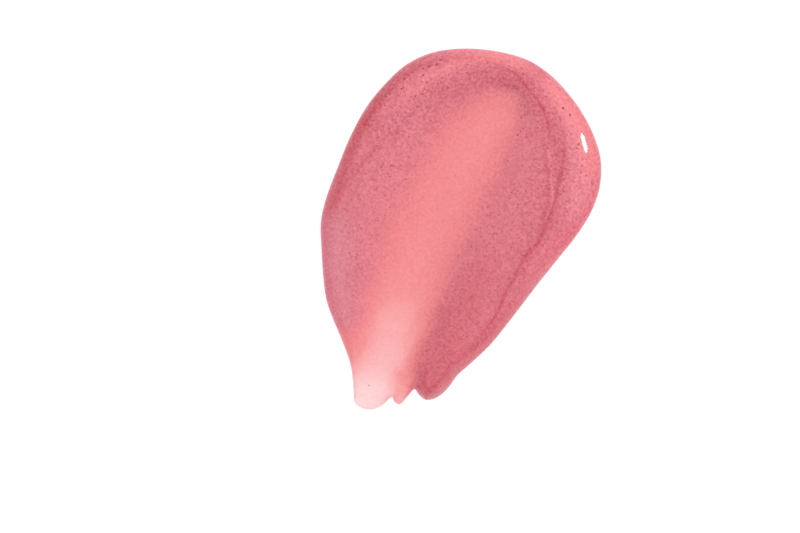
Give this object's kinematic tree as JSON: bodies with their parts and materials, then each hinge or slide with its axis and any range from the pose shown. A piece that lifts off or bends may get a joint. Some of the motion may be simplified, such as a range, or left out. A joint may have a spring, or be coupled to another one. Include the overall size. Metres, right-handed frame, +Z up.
{
  "type": "lip gloss smear",
  "caption": "Teardrop smear of pearly pink lip gloss, a shallow body of gel with a pressed bed down its middle, raised banks beside it and a thin lobed tail.",
  "frame": {"origin": "on the flat underside, at the middle of the smear's length and width", "axes": "+Z up from the surface it lies on, +Y along the stroke from the thin tail to the round head, +X to the right of that"},
  "size_m": [0.0164, 0.0252, 0.0012],
  "materials": {
    "pearly_gel": "gloss"
  },
  "bodies": {
    "root": {"gloss_gel": "pearly_gel"}
  },
  "joints": []
}
